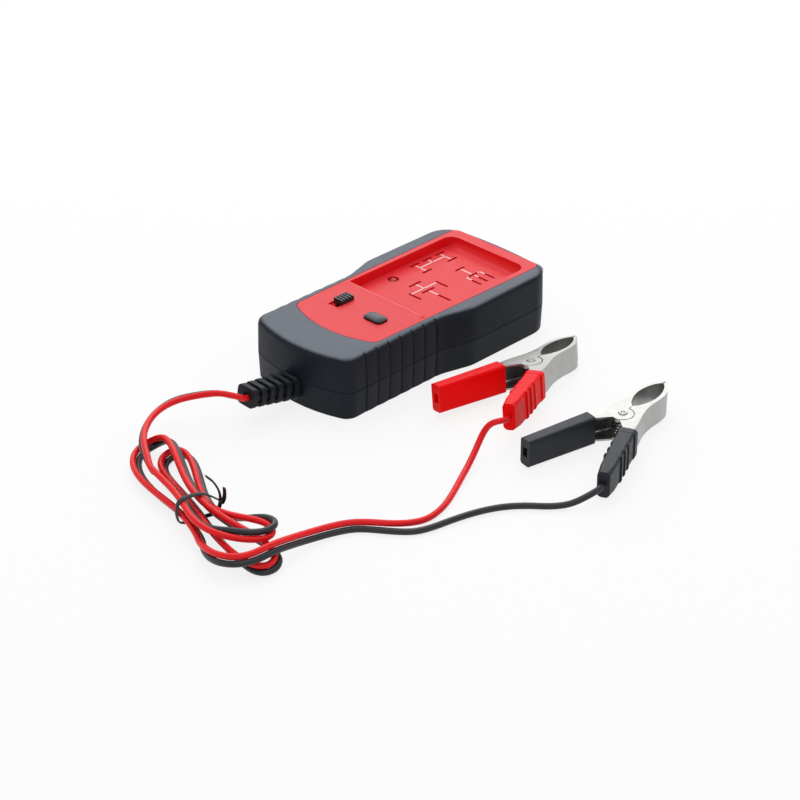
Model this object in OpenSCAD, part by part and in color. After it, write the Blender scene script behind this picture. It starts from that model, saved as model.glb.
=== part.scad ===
// Hand-held tester for 12 V relays. Two light leads with battery clips feed it.
// The housing stands on z = 0 with its length along Y and the leads at its -Y end.

/* [Housing] */
// Length of the housing over its two bowed ends
case_length = 130.4; // [126:0.2:134]
// Width of the head round the relay recess
head_width = 66.8; // [65:0.2:70]
// Width of the grip
grip_width = 58.4; // [57.8:0.2:60]
// Height of the closed housing
case_height = 28.4; // [27.6:0.2:30]
// Height of the joint between the two shells
split_height = 12.8; // [12.4:0.2:13.2]
// Thickness of the shells' walls
wall = 2.2; // [2:0.1:2.3]
// Depth of the grooves in the grip
groove_depth = 0.8; // [0.3:0.1:1]

/* [Face plate] */
// Thickness of the red face plate
plate_thickness = 2; // [1.8:0.1:2.2]
// Depth of the recess that the relay rests in
recess_depth = 4.6; // [4.2:0.1:5]

/* [Controls] */
// Travel of the slide switch
switch_travel = 3.2; // [2.4:0.1:3.2]
// Travel of the test button
button_travel = 1; // [0.6:0.1:1.2]

/* [Leads] */
// Diameter of each lead
lead_d = 2.6; // [2.2:0.1:2.7]

/* [Battery clips] */
// Height of a clip's stamped channel
clip_height = 11.4; // [10.8:0.1:11.6]
// Thickness of the clip's sheet
sheet = 0.8; // [0.6:0.05:0.8]

/* [Hidden] */
$fn = 40;

shell_grey = "#33383d";
plate_red = "#e8202a";
steel_grey = "#c9c9c6";
lead_red = "#e0142a";
lead_black = "#26282b";
control_black = "#1f2123";
brass_yellow = "#c9a45a";

// Outline of the housing: two shallow end arcs, corner arcs inside them, a grip and a wider head
near_bow_r = 71;
far_bow_r = 208;
near_corner_r = 7;
far_corner_r = 12.4;
near_bow_y = near_bow_r - case_length / 2;
far_bow_y = case_length / 2 - far_bow_r;
near_corner = [grip_width / 2 - near_corner_r,
    near_bow_y - sqrt(pow(near_bow_r - near_corner_r, 2) - pow(grip_width / 2 - near_corner_r, 2))];
far_corner = [head_width / 2 - far_corner_r,
    far_bow_y + sqrt(pow(far_bow_r - far_corner_r, 2) - pow(head_width / 2 - far_corner_r, 2))];
near_turn = atan2(near_corner[1] - near_bow_y, near_corner[0]);
far_turn = atan2(far_corner[1] - far_bow_y, far_corner[0]);
flare_y = [-3.2, 11.6];
flare_softness = 0.15;

// Grip grooves
groove_count = 7;
groove_pitch = 7;
first_groove_y = -48.7;
groove_half = 0.55;
pad_crown = 0.2;

// Skin of the shells
bottom_inset = 0.5;
foot_chamfer = 0.6;
split_bevel = 0.3;
draft = 0.3;
top_round = 2.6;
upper_draft_z = case_height - top_round;

// Face plate
plate_z = case_height - plate_thickness;
plate_near_inset = 19.9;
plate_far_y = case_length / 2 - 3;
plate_corner = 4.6;
plate_far_corner = 3.4;
plate_half = [24.6, 25.8];
plate_gap = 0.25;
recess_x = 23;
recess_y = [-8.2, 56.4];
recess_corner = 5;
ridge_rise = 0.2;
recess_floor_z = case_height - recess_depth;
tray_wall = 1.2;
ledge_depth = 2;
ledge_reach = 3;
roof_z = plate_z - 0.2;
control_window = [[-22, -39], [22, -4]];

// Lip that centres the upper shell on the lower one
lip_height = 1.6;
lip_gap = 0.15;
lip_wall = 0.8;
lip_inset = wall + lip_gap;

// Case screws
near_screw = [21.8, -54];
far_screw = [27.7, 44];
boss_r = 3.1;
screw_r = 1.3;
screw_head_r = 2.6;
screw_seat_z = 8;
screw_tip_z = 21;
running_gap = 0.05;

// Circuit board and what stands on it
board_z = 11;
board_thickness = 1.6;
board_top = board_z + board_thickness;
board_half = 23.4;
board_y = [-45, 51];
board_posts = [[20.6, -41.4], [15.9, 48.6]];
post_r = 2.6;
board_screw_r = 0.9;

// Relay contacts: [x, y, turn, length] of each slot, one list for each relay footprint
slot_width = 1.2;
slots_a = [for (x = [-19.9, -11.9], y = [29.4, 45.5]) [x, y, 90, 5.8], [-19.9, 37.4, 90, 5.8]];
slots_b = [[-6.9, 16.4, 90, 7.6], [1.3, 16.4, 90, 7.6], [1.3, 24.8, 0, 7.6], [1.3, 8, 0, 7.6],
    [11.2, 16.4, 0, 7.6]];
slots_c = [for (x = [-3, 5.1]) [x, 41.1, 90, 5.8], for (y = [36.8, 41.1, 45.4]) [11.2, y, 0, 5.8]];
led_at = [-17.1, 13];
led_hole_r = 2.6;

// Slide switch and push button
slide_at = [-12.1, -22.2];
slide_knob = [5.2, 7.2];
slide_pocket_depth = 1.1;
slide_stem = [2, 3];
slide_stem_z = 16;
slide_body = [6.4, 12.4, 6];
button_at = [9.6, -24.4];
button_size = [10, 6.4];
button_gap = 0.25;
button_top_z = case_height + 1.7;
button_stem_r = 1.7;
button_stem_z = 16.6;

// Strain relief: leaves the near end at relief_at, turned and tilted a little upward
relief_at = [0.6, -case_length / 2 + 0.2, 9.2];
relief_turn = -2;
relief_tilt = -9.5;
relief_length = 26.4;
relief_base = [12.6, 9.8];
relief_tip = [10.6, 8.6];
relief_ribs = 6;
relief_rib_round = 2.4;
relief_root = 5.6;
lead_pitch = lead_d + 0.2;

// Battery clips: the rivet is the local origin, +Y points to the jaws' tips
black_clip_at = [118.3, 11, 0.85];
black_clip_turn = 7;
red_clip_at = [65.4, 14.1, 8.7];
red_clip_turn = [-3.5, -8, 6.3];
clip_mid = 5.8;
clip_base = clip_mid - clip_height / 2;
jaw_tip_y = 33;
jaw_gap_y = [7.2, 31];
jaw_gap_half = 4.4;
tooth_count = 2;
tooth_depth = 0.4;
jaw_split_gap = 0.15;
pivot_lobe_r = 4.8;
pivot_step_r = 5.25;
pivot_drop = sheet + 0.1;
rivet_r = 1.6;
rivet_head_r = 2;
web_start = [-11.4, -9.2];
handle_turn = 17.4;
handle_end = 27.6;
handle_width = 4.6;
hollow_length = 28;
sleeve_length = 35.5;
lead_shift = 0.4;
crimp_s = [20, 26];
lead_stop = 20.5;

// Torsion spring of a clip
spring_r = 3.9;
spring_wire = 1;
spring_turns = 4;

// Route of the leads: points between the relief, the hank and the clips
in_points = [[0.4, -95.2, 15.4], [-2.2, -97.8, 16.4], [-6.1, -99.5, 16.2], [-11, -101.8, 14.8],
    [-16.8, -106.2, 12.9], [-20.6, -112, 11.6], [-21, -119.6, 10.8], [-17.8, -128, 10.4],
    [-11.6, -136, 10.3], [-4.8, -141.6, 10.2], [3, -146.4, 9.9]];
pair_points = [[65.8, -170.2, 6.8], [74.4, -171.4, 8.8], [80.8, -169.4, 10], [84, -165, 10.4],
    [84.8, -159.2, 10.4], [84.8, -152.8, 10], [84, -146.6, 8.4], [83.1, -139.4, 6.4], [83.2, -132, 4.9],
    [84.4, -123.4, 3.8], [87.8, -115.6, 3.6], [93, -110.2, 3.6], [98.4, -105.8, 3.5]];
pair_side = [0.5, -0.5, -0.75];
in_sides = [[-1, 0, 0], [-0.8, 0.3, -0.5], [-0.9, 0.6, -0.4], [-0.4, -0.2, -1], [0.6, 0.4, -0.7]];
red_out_points = [[102.6, -99.6, 2.6], [105, -91.4, 1.5], [104.1, -82.4, 1.4], [100.9, -73.4, 1.4],
    [94.7, -61, 1.6], [89.6, -49.8, 3], [86.4, -41.8, 6.5], [85.8, -37.8, 10.5], [87.6, -36, 14],
    [90, -34.2, 15.6]];
black_out_points = [[106.2, -102.6, 1.4], [110.2, -94.4, 1.4], [112.1, -85.2, 1.4], [114.4, -76.2, 1.4],
    [117.5, -68, 1.4], [121.7, -61, 1.4], [127, -55.2, 1.4], [133, -50.2, 1.5], [138.2, -44.4, 2.2],
    [141.7, -38.8, 4.6]];
tail_points = [[2.3, -55, 8.6], [2.6, -51.2, 12.6], [2.9, -47.4, 16.8], [3, -44, 17.8]];
tail_pad = [3, -42];

// Hank: [across, slope, height] of each crossing of its waist, then of each half turn
// [reach, middle across, swell before and after its end, height of the end, rise before and after]
hank_at = [35.9, -152.1];
hank_turn = -9.8;
hank_steps = 12;
waist = [[-4.5, -0.32, 9.6], [6, -0.23, 4.9], [0, -0.14, 4.9], [1.4, -0.13, 9.6], [-6, 0.07, 4.9]];
bights = [[43, 7.6, 14, 14, 9.5, 0.4, 3.2], [-40, 14.9, 12.2, 12.2, 4.3, 0, 0],
    [51.8, 3.2, 16.5, 16.5, 3.9, 2.4, 0], [-51.2, 9.1, 13.5, 14.4, 4.2, 4, 0]];
hank_ends = [[22, [-0.028, -0.00075]], [20, [-0.012, 0]]];
waist_side = [0.6, 0.4, -0.7];
bight_sides = [[-0.4, 0.5, 0.75], [0.5, 0.4, -0.8], [0.6, 0.3, -0.74], [0.6, 0.6, -0.5]];

// Wire tie round the waist: along, across, height
tie_wire = 1;
tie_points = [[-5.6, 10.4, 11.2], [-1.5, 10.9, 10.8], [2.5, 11.1, 8.8], [4.6, 10.6, 6.2], [5.2, 9.6, 3],
    [5, 7.6, 0.8], [4.6, 3, 0.6], [4.2, -3.6, 0.6], [3.9, -7, 1.2], [3.6, -8.4, 3.4], [3.5, -8.6, 7.6],
    [3.5, -6.9, 11], [3.8, -2.6, 11.8], [4.4, 2.2, 11.4], [5, 5.6, 9.4], [5.6, 8.6, 7], [6.2, 10.4, 5.6],
    [6.7, 11.3, 8], [6.9, 11.3, 12]];

// Outline arithmetic
function arc(centre, r, from, to, steps) =
    [for (i = [0:steps - 1]) let (a = from + (to - from) * i / steps) centre + r * [cos(a), sin(a)]];
function mirrored(points) = [for (i = [len(points) - 1:-1:0]) [-points[i][0], points[i][1]]];
function ramp_area(t) = t <= 0 ? 0 : t >= 1 ? t - 0.5 : t * t / 2;
function soft_ramp(t, w) = (ramp_area(t + w) - ramp_area(t - w)) / (2 * w);
function mix(a, b, t) = a + (b - a) * t;
function unit(v) = v / norm(v);

// Side of the grip: a groove, its two edges and the crown of the pad behind it
function grip_side(x, relief) = let (half = relief > 0 ? groove_half : 2 * groove_half)
    [for (i = [0:groove_count - 1], s = [[-half, pad_crown], [0, groove_depth], [half, pad_crown],
        [groove_pitch / 2, 0]]) if (i < groove_count - 1 || s[0] <= half)
            [x - relief * s[1], first_groove_y + i * groove_pitch + s[0]]];
function flare_side(inset) = [for (i = [0:9]) let (t = mix(-flare_softness, 1 + flare_softness, i / 9))
    [mix(grip_width, head_width, soft_ramp(t, flare_softness)) / 2 - inset, mix(flare_y[0], flare_y[1], t)]];
function right_side(inset, relief) = concat(
    arc([0, near_bow_y], near_bow_r - inset, -90, near_turn, 4),
    arc(near_corner, near_corner_r - inset, near_turn, 0, 6),
    [near_corner + [near_corner_r - inset, 0]],
    grip_side(grip_width / 2 - inset, relief),
    flare_side(inset),
    arc(far_corner, far_corner_r - inset, 0, far_turn, 8),
    arc([0, far_bow_y], far_bow_r - inset, far_turn, 90, 4));
function case_outline(inset, relief = 0) = let (right = right_side(inset, relief))
    concat(right, [[0, case_length / 2 - inset]],
        [for (p = mirrored(right)) if (p[0] < -0.001) p]);

// Solid through a stack of rings that have the same number of points, first ring at the bottom
module loft(rings) {
    n = len(rings[0]);
    last = (len(rings) - 1) * n;
    sides = [for (k = [0:len(rings) - 2], i = [0:n - 1]) let (a = k * n, b = a + n, j = (i + 1) % n)
        each [[a + i, b + j, a + j], [a + i, b + i, b + j]]];
    floor_face = [for (i = [0:n - 1]) i];
    roof_face = [for (i = [n - 1:-1:0]) last + i];
    polyhedron([for (ring = rings) each ring], concat([floor_face], sides, [roof_face]));
}
function lifted(points, z) = [for (p = points) [p[0], p[1], z]];
function drawn_in(points) = [for (p = points) [0.8 * p[0], 0.6 * p[1]]];

// Rings of a round tube along a path, carried from point to point without twist
function tangent(path, i) = unit(path[min(i + 1, len(path) - 1)] - path[max(i - 1, 0)]);
function square_to(v, t) = unit(v - (v * t) * t);
function side_vectors(path, i = 0, last = [0.31, 0.17, 1]) = i == len(path) ? [] :
    let (side = square_to(last, tangent(path, i))) concat([side], side_vectors(path, i + 1, side));
module tube(path, d, sides) {
    across = side_vectors(path);
    loft([for (i = [0:len(path) - 1]) let (t = tangent(path, i), u = across[i], w = cross(t, u))
        [for (k = [0:sides - 1]) path[i] + d / 2 * (u * cos(360 * k / sides) + w * sin(360 * k / sides))]]);
}

// Smooth path through hand-placed points, a few rings for each stretch
function bend_point(p, i, t) =
    let (a = p[max(i - 1, 0)], b = p[i], c = p[i + 1], d = p[min(i + 2, len(p) - 1)])
    b + t / 2 * (c - a) + t * t * (a - 2.5 * b + 2 * c - d / 2) + t * t * t * (1.5 * (b - c) + (d - a) / 2);
function smooth_path(p, steps) = concat(
    [for (i = [0:len(p) - 2], k = [0:steps - 1]) bend_point(p, i, k / steps)], [p[len(p) - 1]]);

module rounded_box(size, r) {
    linear_extrude(size[2]) offset(r) square([size[0] - 2 * r, size[1] - 2 * r], center = true);
}

// ---- Housing ----

module case_screw_places() {
    for (side = [-1, 1], at = [near_screw, far_screw]) translate([side * at[0], at[1], 0]) children();
}

module board_post_places() {
    for (side = [-1, 1], at = board_posts) translate([side * at[0], at[1], 0]) children();
}

module relief_place() {
    translate(relief_at) rotate([0, 0, relief_turn]) rotate([relief_tilt, 0, 0]) children();
}

// Opening for the strain relief, cut from both shells
module relief_opening() {
    relief_place() cube([relief_base[0] - 1.6, 16, relief_base[1] - 1.6], center = true);
}

module lower_shell() color(shell_grey) {
    difference() {
        union() {
            difference() {
                loft([lifted(case_outline(bottom_inset + foot_chamfer, 1), 0),
                    lifted(case_outline(bottom_inset, 1), foot_chamfer),
                    lifted(case_outline(0, 1), split_height - split_bevel),
                    lifted(case_outline(split_bevel, 1), split_height),
                    lifted(case_outline(lip_inset), split_height - 0.02),
                    lifted(case_outline(lip_inset), split_height + lip_height)]);
                translate([0, 0, wall]) linear_extrude(split_height - 2 - wall) polygon(case_outline(wall));
                translate([0, 0, wall + 2]) linear_extrude(case_height)
                    polygon(case_outline(lip_inset + lip_wall));
                case_screw_places() translate([0, 0, split_height])
                    cylinder(r = boss_r + 0.3, h = case_height);
                translate([0, -case_length / 2, split_height + 10]) cube([18, 16, 20], center = true);
            }
            case_screw_places() translate([0, 0, wall / 2]) cylinder(r = boss_r, h = split_height - wall / 2);
            board_post_places() translate([0, 0, wall / 2]) cylinder(r = post_r, h = board_z - wall / 2);
        }
        case_screw_places() {
            translate([0, 0, -1]) cylinder(r = screw_head_r + 0.2, h = screw_seat_z + 1);
            cylinder(r = screw_r + 0.2, h = case_height);
        }
        board_post_places() translate([0, 0, board_z - 7]) cylinder(r = board_screw_r + running_gap, h = 9);
        relief_opening();
    }
}

// Outline of the face plate: its near edge follows the housing's bowed end
function plate_outline(grow) = let (r = plate_corner + grow, centre = [0, near_bow_y],
    bow = near_bow_r - plate_near_inset + grow, near = [plate_half[0] + grow - r, 0],
    near_y = near_bow_y - sqrt(pow(bow - r, 2) - pow(near[0], 2)), turn = atan2(near_y - near_bow_y, near[0]),
    right = concat(arc(centre, bow, -90, turn, 4), arc([near[0], near_y], r, turn, 0, 6),
        [[plate_half[0] + grow, near_y]],
        arc([plate_half[1], plate_far_y] - plate_far_corner * [1, 1], plate_far_corner + grow, 0, 90, 6),
        [[plate_half[1] - plate_far_corner, plate_far_y + grow]]))
    concat(right, [for (p = mirrored(right)) if (p[0] < -0.001) p]);

// Plan of the recess: rounded at the far end, square at the near end
module recess_shape(x, y0, y1, r) {
    translate([0, (y0 + y1) / 2]) offset(r) square([2 * (x - r), y1 - y0 - 2 * r], center = true);
    translate([-x, y0]) square([2 * x, r + 1]);
}

module upper_shell() color(shell_grey) {
    difference() {
        union() {
            loft([lifted(drawn_in(case_outline(wall)), roof_z),
                lifted(case_outline(wall), roof_z),
                lifted(case_outline(wall), split_height),
                lifted(case_outline(split_bevel, 1), split_height),
                lifted(case_outline(0, 1), split_height + split_bevel),
                lifted(case_outline(draft, 1), upper_draft_z),
                for (a = [30, 60])
                    lifted(case_outline(draft + top_round * (1 - cos(a)), 1),
                        upper_draft_z + top_round * sin(a)),
                lifted(case_outline(draft + top_round), case_height),
                lifted(drawn_in(case_outline(draft + top_round)), case_height)]);
            translate([0, 0, plate_z - ledge_depth]) linear_extrude(ledge_depth)
                polygon(plate_outline(ledge_reach));
            case_screw_places() translate([0, 0, split_height])
                cylinder(r = boss_r, h = case_height - 1 - split_height);
        }
        translate([0, 0, plate_z]) linear_extrude(case_height) polygon(plate_outline(plate_gap));
        translate([control_window[0][0], control_window[0][1], plate_z - ledge_depth - 1])
            cube([control_window[1][0] - control_window[0][0], control_window[1][1] - control_window[0][1],
                case_height]);
        translate([0, 0, plate_z - ledge_depth - 1]) linear_extrude(case_height)
            recess_shape(recess_x + tray_wall + plate_gap, recess_y[0] - tray_wall - plate_gap,
                recess_y[1] + tray_wall + plate_gap, recess_corner + tray_wall);
        case_screw_places() translate([0, 0, split_height - 1])
            cylinder(r = screw_r + running_gap, h = screw_tip_z + 1 - split_height);
        relief_opening();
    }
}

module slot_places(slots) {
    for (s = slots) translate([s[0], s[1], 0]) rotate(s[2]) children();
}

// Recess for the relay: straight at the sides, a hollow slope at the far end
module recess() {
    slope = recess_depth - 0.6;
    difference() {
        translate([0, 0, recess_floor_z]) linear_extrude(recess_depth + 1)
            recess_shape(recess_x, recess_y[0], recess_y[1], recess_corner);
        translate([-recess_x - 1, recess_y[1] - slope, recess_floor_z - 0.01]) rotate([90, 0, 90])
            linear_extrude(2 * recess_x + 2) polygon(concat(
                [[slope + 1, 0], [slope + 1, slope], [slope, slope]],
                [for (i = [1:6]) let (a = 90 * i / 6) [slope * cos(a), slope - slope * sin(a)]]));
    }
}

module face_panel() color(plate_red) {
    difference() {
        union() {
            translate([0, 0, plate_z]) linear_extrude(plate_thickness) polygon(plate_outline(0));
            translate([0, 0, recess_floor_z - plate_thickness]) linear_extrude(recess_depth)
                recess_shape(recess_x + tray_wall, recess_y[0] - tray_wall, recess_y[1] + tray_wall,
                    recess_corner + tray_wall);
            // low ramp up to the recess's near edge
            translate([-recess_x, recess_y[0], case_height]) rotate([90, 0, 90])
                linear_extrude(2 * recess_x) polygon([[-3.4, -1], [-3.4, 0], [-1.4, ridge_rise],
                    [-0.6, ridge_rise], [0, 0], [0, -1]]);
        }
        recess();
        for (group = [slots_a, slots_b, slots_c], s = group)
            translate([s[0], s[1], recess_floor_z]) rotate(s[2])
                cube([s[3], slot_width, 3 * plate_thickness], center = true);
        translate([led_at[0], led_at[1], recess_floor_z - 4]) cylinder(r = led_hole_r, h = 8);
        translate([slide_at[0], slide_at[1] - switch_travel / 2, 0]) {
            translate([0, 0, case_height]) cube([slide_knob[0] + 0.4, slide_knob[1] + switch_travel + 0.4,
                2 * slide_pocket_depth], center = true);
            translate([0, 0, plate_z]) cube([slide_stem[0] + 0.4, slide_stem[1] + switch_travel + 0.4,
                2 * plate_thickness], center = true);
        }
        translate([button_at[0], button_at[1], plate_z - 1])
            rounded_box([button_size[0] + 2 * button_gap, button_size[1] + 2 * button_gap, 6], 2.2);
    }
}

module case_screws() color(steel_grey) {
    case_screw_places() difference() {
        union() {
            translate([0, 0, screw_seat_z - 2.1]) cylinder(r = screw_head_r, h = 2.1);
            translate([0, 0, screw_seat_z - 0.1]) cylinder(r = screw_r, h = screw_tip_z - screw_seat_z - 0.3);
        }
        for (turn = [0, 90]) translate([0, 0, screw_seat_z - 2.1]) rotate(turn)
            cube([3, 0.7, 2], center = true);
    }
}

// ---- Electronics ----

module circuit_board() color("#2f6b3c") {
    difference() {
        translate([-board_half, board_y[0], board_z])
            cube([2 * board_half, board_y[1] - board_y[0], board_thickness]);
        board_post_places() cylinder(r = board_screw_r + 0.2, h = case_height);
    }
}

module board_screws() color(steel_grey) {
    board_post_places() {
        translate([0, 0, board_z - 5]) cylinder(r = board_screw_r, h = 5 + board_thickness);
        translate([0, 0, board_top]) cylinder(r = 1.9, h = 1.3);
    }
}

module contact_sleeves(slots) color(brass_yellow) {
    top = recess_floor_z - plate_thickness - 0.3;
    for (s = slots) translate([s[0], s[1], board_top]) rotate(s[2]) difference() {
        translate([-s[3] / 2 - 0.7, -1.4, 0]) cube([s[3] + 1.4, 2.8, top - board_top]);
        translate([-s[3] / 2, -slot_width / 2, 1]) cube([s[3], slot_width, 20]);
    }
}

module slide_switch_body() color("#8f9396") {
    translate([slide_at[0], slide_at[1] - switch_travel / 2, board_top]) difference() {
        translate([-slide_body[0] / 2, -slide_body[1] / 2, 0]) cube(slide_body);
        translate([0, 0, slide_body[2]]) cube([slide_stem[0] + 0.3, slide_stem[1] + switch_travel + 0.4,
            2 * (board_top + slide_body[2] - slide_stem_z) + 1], center = true);
    }
}

module slide_switch_knob() color(control_black) {
    base_z = case_height - slide_pocket_depth + 0.1;
    translate([slide_at[0], slide_at[1], 0]) {
        translate([-slide_knob[0] / 2, -slide_knob[1] / 2, base_z])
            cube([slide_knob[0], slide_knob[1], case_height + 1.2 - base_z]);
        for (i = [0:4]) translate([-slide_knob[0] / 2, (i - 2) * 1.6 - 0.4, case_height + 1.1])
            cube([slide_knob[0], 0.8, 0.8]);
        translate([-slide_stem[0] / 2, -slide_stem[1] / 2, slide_stem_z])
            cube([slide_stem[0], slide_stem[1], base_z + 0.5 - slide_stem_z]);
    }
}

module test_button() color(control_black) {
    flange_z = plate_z - 1.3;
    translate([button_at[0], button_at[1], 0]) {
        translate([0, 0, flange_z]) rounded_box([button_size[0] + 2, button_size[1] + 2, 1], 1);
        translate([0, 0, flange_z])
            rounded_box([button_size[0], button_size[1], case_height + 0.8 - flange_z], 2);
        hull() {
            translate([0, 0, case_height + 0.6])
                rounded_box([button_size[0] - 0.1, button_size[1] - 0.1, 0.25], 1.95);
            translate([0, 0, button_top_z - 0.1])
                rounded_box([button_size[0] - 3, button_size[1] - 3, 0.1], 1.2);
        }
        translate([0, 0, button_stem_z]) cylinder(r = button_stem_r, h = flange_z + 0.5 - button_stem_z);
    }
}

module button_switch_body() color("#3b3d40") {
    translate([button_at[0], button_at[1], board_top]) difference() {
        union() {
            translate([-3.1, -3.1, 0]) cube([6.2, 6.2, 3.8]);
            cylinder(r = 2.7, h = 7);
        }
        translate([0, 0, 1.6]) cylinder(r = button_stem_r + 0.08, h = 8);
    }
}

module status_led() color("#f2a6a0") {
    translate([led_at[0], led_at[1], 0]) {
        translate([0, 0, recess_floor_z - 2]) sphere(r = 2.35);
        translate([0, 0, recess_floor_z - 5]) cylinder(r = 2.35, h = 3);
        translate([0, 0, recess_floor_z - 5]) cylinder(r = 2.9, h = 1);
        for (side = [-1, 1]) translate([side * 1.27, 0, board_top])
            cylinder(r = 0.3, h = recess_floor_z - 4.5 - board_top);
    }
}

module controller_chip() color("#2a2a2c") {
    translate([0, -9.6, board_top]) {
        translate([-9.6, -3.2, 0.6]) cube([19.2, 6.4, 3.3]);
        for (i = [-3:3], side = [-1, 1]) translate([i * 2.54 - 0.3, side * 3.5 - 0.4, 0])
            cube([0.6, 0.8, 2.4]);
    }
}

module transistors() color("#2a2a2c") {
    for (i = [0:2]) translate([19, -12 + 8 * i, board_top]) {
        translate([0, 0, 2]) difference() {
            cylinder(r = 2.3, h = 4.6);
            translate([1.3, -3, -1]) cube([3, 6, 7]);
        }
        for (k = [-1:1]) translate([0, k * 1.27, 0]) cylinder(r = 0.25, h = 2.5);
    }
}

module resistors() color("#c9a97c") {
    for (x = [-17.4, -6.6], i = [0:2]) translate([x, -4 + 3.4 * i, board_top + 1.5]) rotate([0, 90, 0]) {
        translate([0, 0, -3]) cylinder(r = 1.15, h = 6);
        translate([0, 0, -4.4]) cylinder(r = 0.3, h = 8.8);
        for (end = [-4.1, 4.1]) translate([0, 0, end]) rotate([0, 90, 0]) cylinder(r = 0.3, h = 1.5);
    }
}

module capacitor() color("#3a4a6a") {
    translate([12, -36, board_top]) cylinder(r = 4, h = 9);
}

// ---- Strain relief ----

module relief_section(y, thickness, scale_by, r = 0.6) {
    t = y / relief_length;
    size = mix(relief_base, relief_tip, t) * scale_by;
    translate([0, -y + thickness / 2, 0]) rotate([90, 0, 0]) linear_extrude(thickness)
        offset(r, $fn = 24) square([size[0] - 2 * r, size[1] - 2 * r], center = true);
}

module strain_relief() color(shell_grey) {
    relief_place() {
        hull() {
            relief_section(-relief_root, 0.2, 0.66);
            relief_section(relief_length - 1, 0.2, 0.7);
        }
        for (i = [0:relief_ribs - 1]) relief_section(relief_length - 1.65 - i * 4.4, 2.3, 1, relief_rib_round);
        relief_section(-wall - 2.2, 1.6, 1.12);
        relief_section(-1, 3.4, 0.82);
        // side webs join the ribs
        for (side = [-1, 1]) translate([side * 4.1 - 0.6, -relief_length + 1, -1])
            cube([1.2, relief_length - 2, 2]);
    }
}

// ---- Battery clips ----

// Plan of a clip half's outer face from the tip back to the handle
outer_face = [[-0.8, jaw_tip_y], [-1.9, jaw_tip_y - 2], [-3.5, 28.8], [-5.2, 26], [-6, 22.4], [-6.1, 18],
    [-5.9, 12.6], [-6.7, 6], [-9, -1.2]];
handle_along = [-sin(handle_turn), -cos(handle_turn)];
handle_across = [-cos(handle_turn), sin(handle_turn)];
handle_root = [-8.8, -9.4];
handle_line = [for (s = [0, handle_end]) handle_root + s * handle_along];
smooth_face = concat(smooth_path(outer_face, 3),
    [for (p = handle_line) p + handle_width / 2 * handle_across]);

function shifted_face(by) = [for (i = [0:len(smooth_face) - 1])
    let (t = tangent(smooth_face, i)) smooth_face[i] + by * [-t[1], t[0]]];

// Inner edge of the flange: toothed tip, lens-shaped gap, closed again before the rivet
function gap_edge(lens) = [for (i = [0:12]) let (t = i / 12, y = mix(jaw_gap_y[1], jaw_gap_y[0], t))
    [-jaw_split_gap - lens * pow(sin(180 * t), 0.7), y]];
tooth_row = [jaw_tip_y - 0.4, jaw_gap_y[1]];
function tooth_edge() = [for (i = [0:2 * tooth_count])
    [-jaw_split_gap - (i % 2) * tooth_depth, mix(tooth_row[0], tooth_row[1], i / (2 * tooth_count + 1))]];
function reversed(points) = [for (i = [len(points) - 1:-1:0]) points[i]];

// Flange of one half as a flat plate; the lobe covers the rivet
module flange_plan() {
    intersection() {
        polygon(concat(smooth_face, [handle_line[1] - handle_width / 2 * handle_across,
            handle_line[0] - handle_width / 2 * handle_across, [-jaw_split_gap, -3.5]],
            [[-jaw_split_gap, jaw_gap_y[0] - 0.8]], reversed(gap_edge(jaw_gap_half)),
            reversed(tooth_edge())));
        translate([-40, -60]) square([40 - jaw_split_gap, 100]);
    }
}

module lobe_plan(r) {
    translate([0, -0.5]) circle(r = r);
}

module web_plan() {
    polygon(concat(smooth_face, reversed(shifted_face(sheet))));
}

// Half whose flanges lie outside, over the other half's
module outer_half() {
    translate([0, 0, clip_base]) linear_extrude(clip_height) web_plan();
    for (z = [clip_base, clip_base + clip_height - sheet]) translate([0, 0, z]) linear_extrude(sheet) {
        flange_plan();
        lobe_plan(pivot_lobe_r);
    }
}

// Half whose flanges are set inward by one sheet round the rivet
module inner_half() {
    top = clip_base + clip_height - sheet;
    translate([0, 0, clip_base]) linear_extrude(clip_height) web_plan();
    for (flip = [0, 1]) translate([0, 0, flip * 2 * clip_mid]) mirror([0, 0, flip]) {
        translate([0, 0, top]) linear_extrude(sheet) difference() {
            flange_plan();
            lobe_plan(pivot_step_r);
        }
        translate([0, 0, top - pivot_drop]) linear_extrude(sheet) {
            intersection() {
                flange_plan();
                lobe_plan(pivot_step_r + sheet);
            }
            lobe_plan(pivot_lobe_r);
        }
        translate([0, 0, top - pivot_drop]) linear_extrude(sheet + pivot_drop) difference() {
            intersection() {
                flange_plan();
                lobe_plan(pivot_step_r + sheet);
            }
            lobe_plan(pivot_step_r);
        }
    }
}

module rivet_bore(gap) {
    translate([0, 0, clip_base - 2]) cylinder(r = rivet_r + gap, h = clip_height + 4);
}

module moving_jaw() color(steel_grey) difference() {
    outer_half();
    rivet_bore(running_gap);
}

module fixed_jaw() color(steel_grey) difference() {
    mirror([1, 0, 0]) inner_half();
    rivet_bore(running_gap);
}

module clip_rivet() color(steel_grey) difference() {
    union() {
        translate([0, 0, clip_base - 0.25]) cylinder(r = rivet_r, h = clip_height + 0.5);
        translate([0, 0, clip_base + clip_height + 0.05])
            cylinder(r1 = rivet_head_r, r2 = rivet_head_r - 0.4, h = 0.5);
        translate([0, 0, clip_base - 0.3]) cylinder(r = rivet_head_r, h = 0.25);
    }
    translate([0, 0, clip_base + clip_height + 0.1]) cylinder(r1 = 0.5, r2 = 1.1, h = 0.5);
}

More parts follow.
